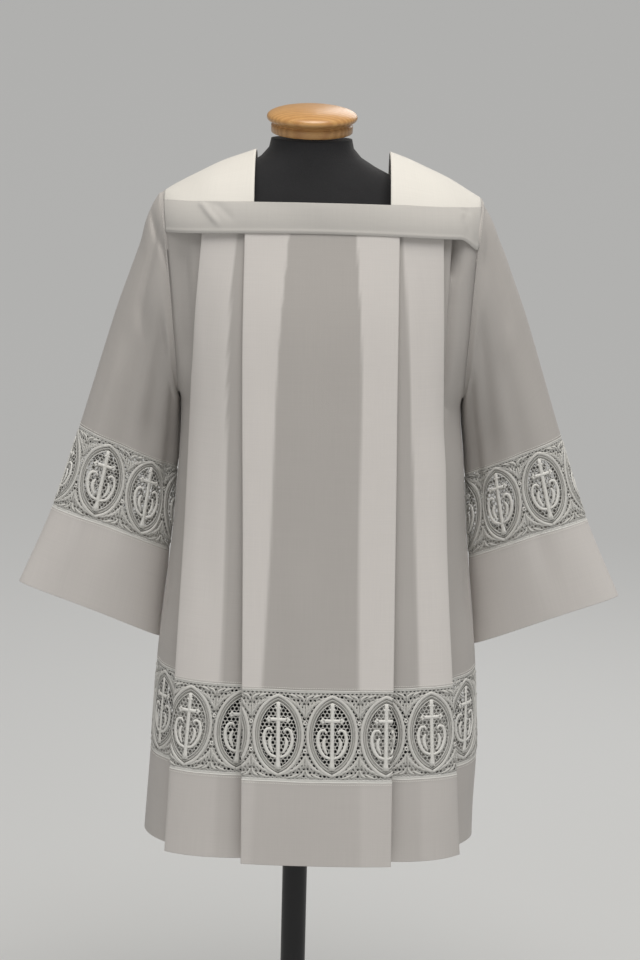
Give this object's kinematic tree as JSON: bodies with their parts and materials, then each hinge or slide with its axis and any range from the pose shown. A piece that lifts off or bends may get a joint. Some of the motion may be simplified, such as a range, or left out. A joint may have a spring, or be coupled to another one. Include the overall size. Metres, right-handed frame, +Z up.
{
  "type": "surplice on dress form",
  "caption": "Pleated white surplice with square yoke and lace insertions, worn open over a limbless dress form with a wooden neck cap on a round floor stand.",
  "frame": {"origin": "centre of the stand base's underside, on the floor", "axes": "+Z up, the garment's front faces -Y, the wearer's left is +X"},
  "size_m": [0.8372, 0.4, 1.5479],
  "materials": {
    "white_cloth": "matte plain weave",
    "white_lace": "matte corded lace on an open net",
    "black_jersey": "matte fine knit",
    "turned_wood": "satin varnish",
    "black_steel": "satin powder coat"
  },
  "bodies": {
    "root": {"back_hem_band": "white_cloth", "back_hem_lace": "white_lace", "back_panel": "white_cloth", "back_yoke_band": "white_cloth", "form_body": "black_jersey", "front_hem_band": "white_cloth", "front_hem_lace": "white_lace", "front_panel": "white_cloth", "front_yoke_band": "white_cloth", "left_cuff": "white_cloth", "left_sleeve": "white_cloth", "left_sleeve_lace": "white_lace", "left_strap": "white_cloth", "neck_cap": "turned_wood", "right_cuff": "white_cloth", "right_sleeve": "white_cloth", "right_sleeve_lace": "white_lace", "right_strap": "white_cloth", "stand_base": "black_steel", "stand_flange": "black_steel", "stand_pole": "black_steel"}
  },
  "joints": []
}
